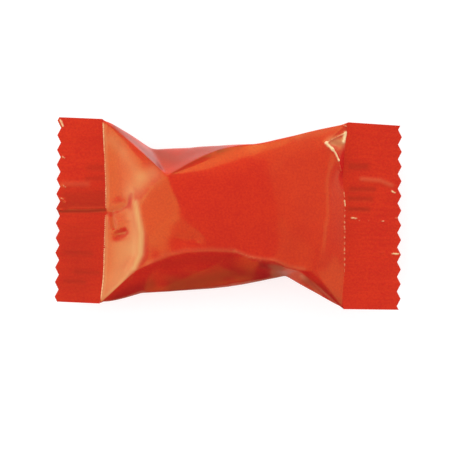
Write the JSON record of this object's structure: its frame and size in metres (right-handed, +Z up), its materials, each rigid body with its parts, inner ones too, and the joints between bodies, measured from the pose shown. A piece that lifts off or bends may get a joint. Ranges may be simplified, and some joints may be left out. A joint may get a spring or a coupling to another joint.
{
  "type": "wrapped butter mint",
  "caption": "Soft butter mint in a plain red flow wrap: a creased film pillow, lying on its back, with a flat ribbed crimp seal and a zigzag cut edge at each end.",
  "frame": {"origin": "on the surface the sweet lies on, under the middle of its bounding box", "axes": "+X along the wrap towards the crimp that the pillow slopes down to gently, +Y across it, +Z up"},
  "size_m": [0.0466, 0.0258, 0.0108],
  "materials": {
    "wrapper_film": "smooth glossy red packaging film with a faint metallic sheen that turns orange to cream where it catches light"
  },
  "bodies": {
    "root": {"wrapper": "wrapper_film"}
  },
  "joints": []
}
